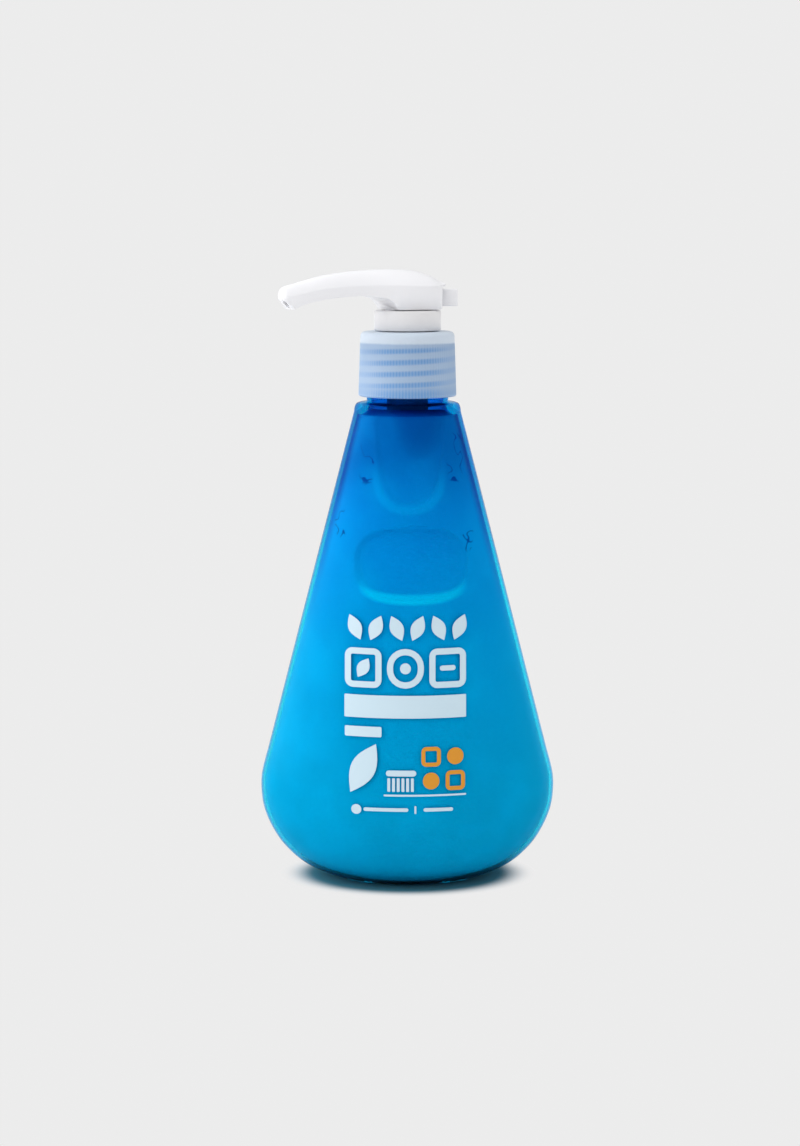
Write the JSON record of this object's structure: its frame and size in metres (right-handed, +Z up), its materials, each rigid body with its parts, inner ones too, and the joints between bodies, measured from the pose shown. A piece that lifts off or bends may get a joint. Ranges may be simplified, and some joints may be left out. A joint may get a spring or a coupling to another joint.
{
  "type": "toothpaste pump dispenser",
  "caption": "Oval drop-shaped translucent bottle of toothpaste with a ribbed screw closure and a lock-down pump with an arched spout.",
  "frame": {"origin": "on the pump axis, in the plane that the bottle stands on", "axes": "+Z up along the pump axis; +X to the right across the wide side of the bottle; -Y towards the viewer, out of the printed front"},
  "size_m": [0.0842, 0.0608, 0.1736],
  "materials": {
    "blue_pet": "clear blue blow-moulded bottle plastic, glossy, with white and orange print",
    "paste": "opaque cyan toothpaste",
    "frosted_closure": "frosted translucent polypropylene, satin",
    "soft_seal": "soft natural polyethylene",
    "clear_housing": "natural polypropylene",
    "white_collar": "white polypropylene, satin",
    "tube": "natural polyethylene tube",
    "steel": "stainless steel",
    "white_inner": "white polypropylene",
    "white_head": "white polypropylene, satin gloss"
  },
  "bodies": {
    "bottle_body": {"bottle": "blue_pet", "toothpaste": "paste"},
    "pump_unit": {"neck_gasket": "soft_seal", "pump_housing": "clear_housing", "locking_collar": "white_collar", "dip_tube": "tube", "ball_cage": "white_inner", "return_spring": "steel", "stem_wiper": "soft_seal"},
    "closure_ring": {"closure": "frosted_closure"},
    "plunger": {"lower_stem": "white_inner", "piston": "soft_seal", "stem": "white_inner"},
    "actuator": {"head": "white_head", "rear_plug": "white_head"},
    "inlet_valve": {"inlet_ball": "steel"},
    "outlet_valve": {"outlet_ball": "steel"}
  },
  "joints": [
    {"name": "pump_lift", "type": "slide", "parent": "bottle_body", "child": "pump_unit", "axis": [0, 0, 1], "range_m": [0, 0.0079]},
    {"name": "closure_turn", "type": "hinge", "parent": "pump_unit", "child": "closure_ring", "pos_m": [0, 0, 0.147], "axis": [0, 0, 1], "range_deg": [0, 900]},
    {"name": "head_press", "type": "slide", "parent": "pump_unit", "child": "plunger", "axis": [0, 0, 1], "range_m": [0, 0.0105], "deforming": ["return_spring"]},
    {"name": "head_turn", "type": "hinge", "parent": "plunger", "child": "actuator", "pos_m": [0, 0, 0.165], "axis": [0, 0, 1], "continuous": true},
    {"name": "inlet_ball_lift", "type": "slide", "parent": "pump_unit", "child": "inlet_valve", "axis": [0, 0, 1], "range_m": [0, 0.0012]},
    {"name": "outlet_ball_lift", "type": "slide", "parent": "plunger", "child": "outlet_valve", "axis": [0, 0, 1], "range_m": [0, 0.0012]}
  ],
  "couplings": [
    {"joint": "closure_turn", "follows": "pump_lift", "rad_per_m": 1979}
  ]
}
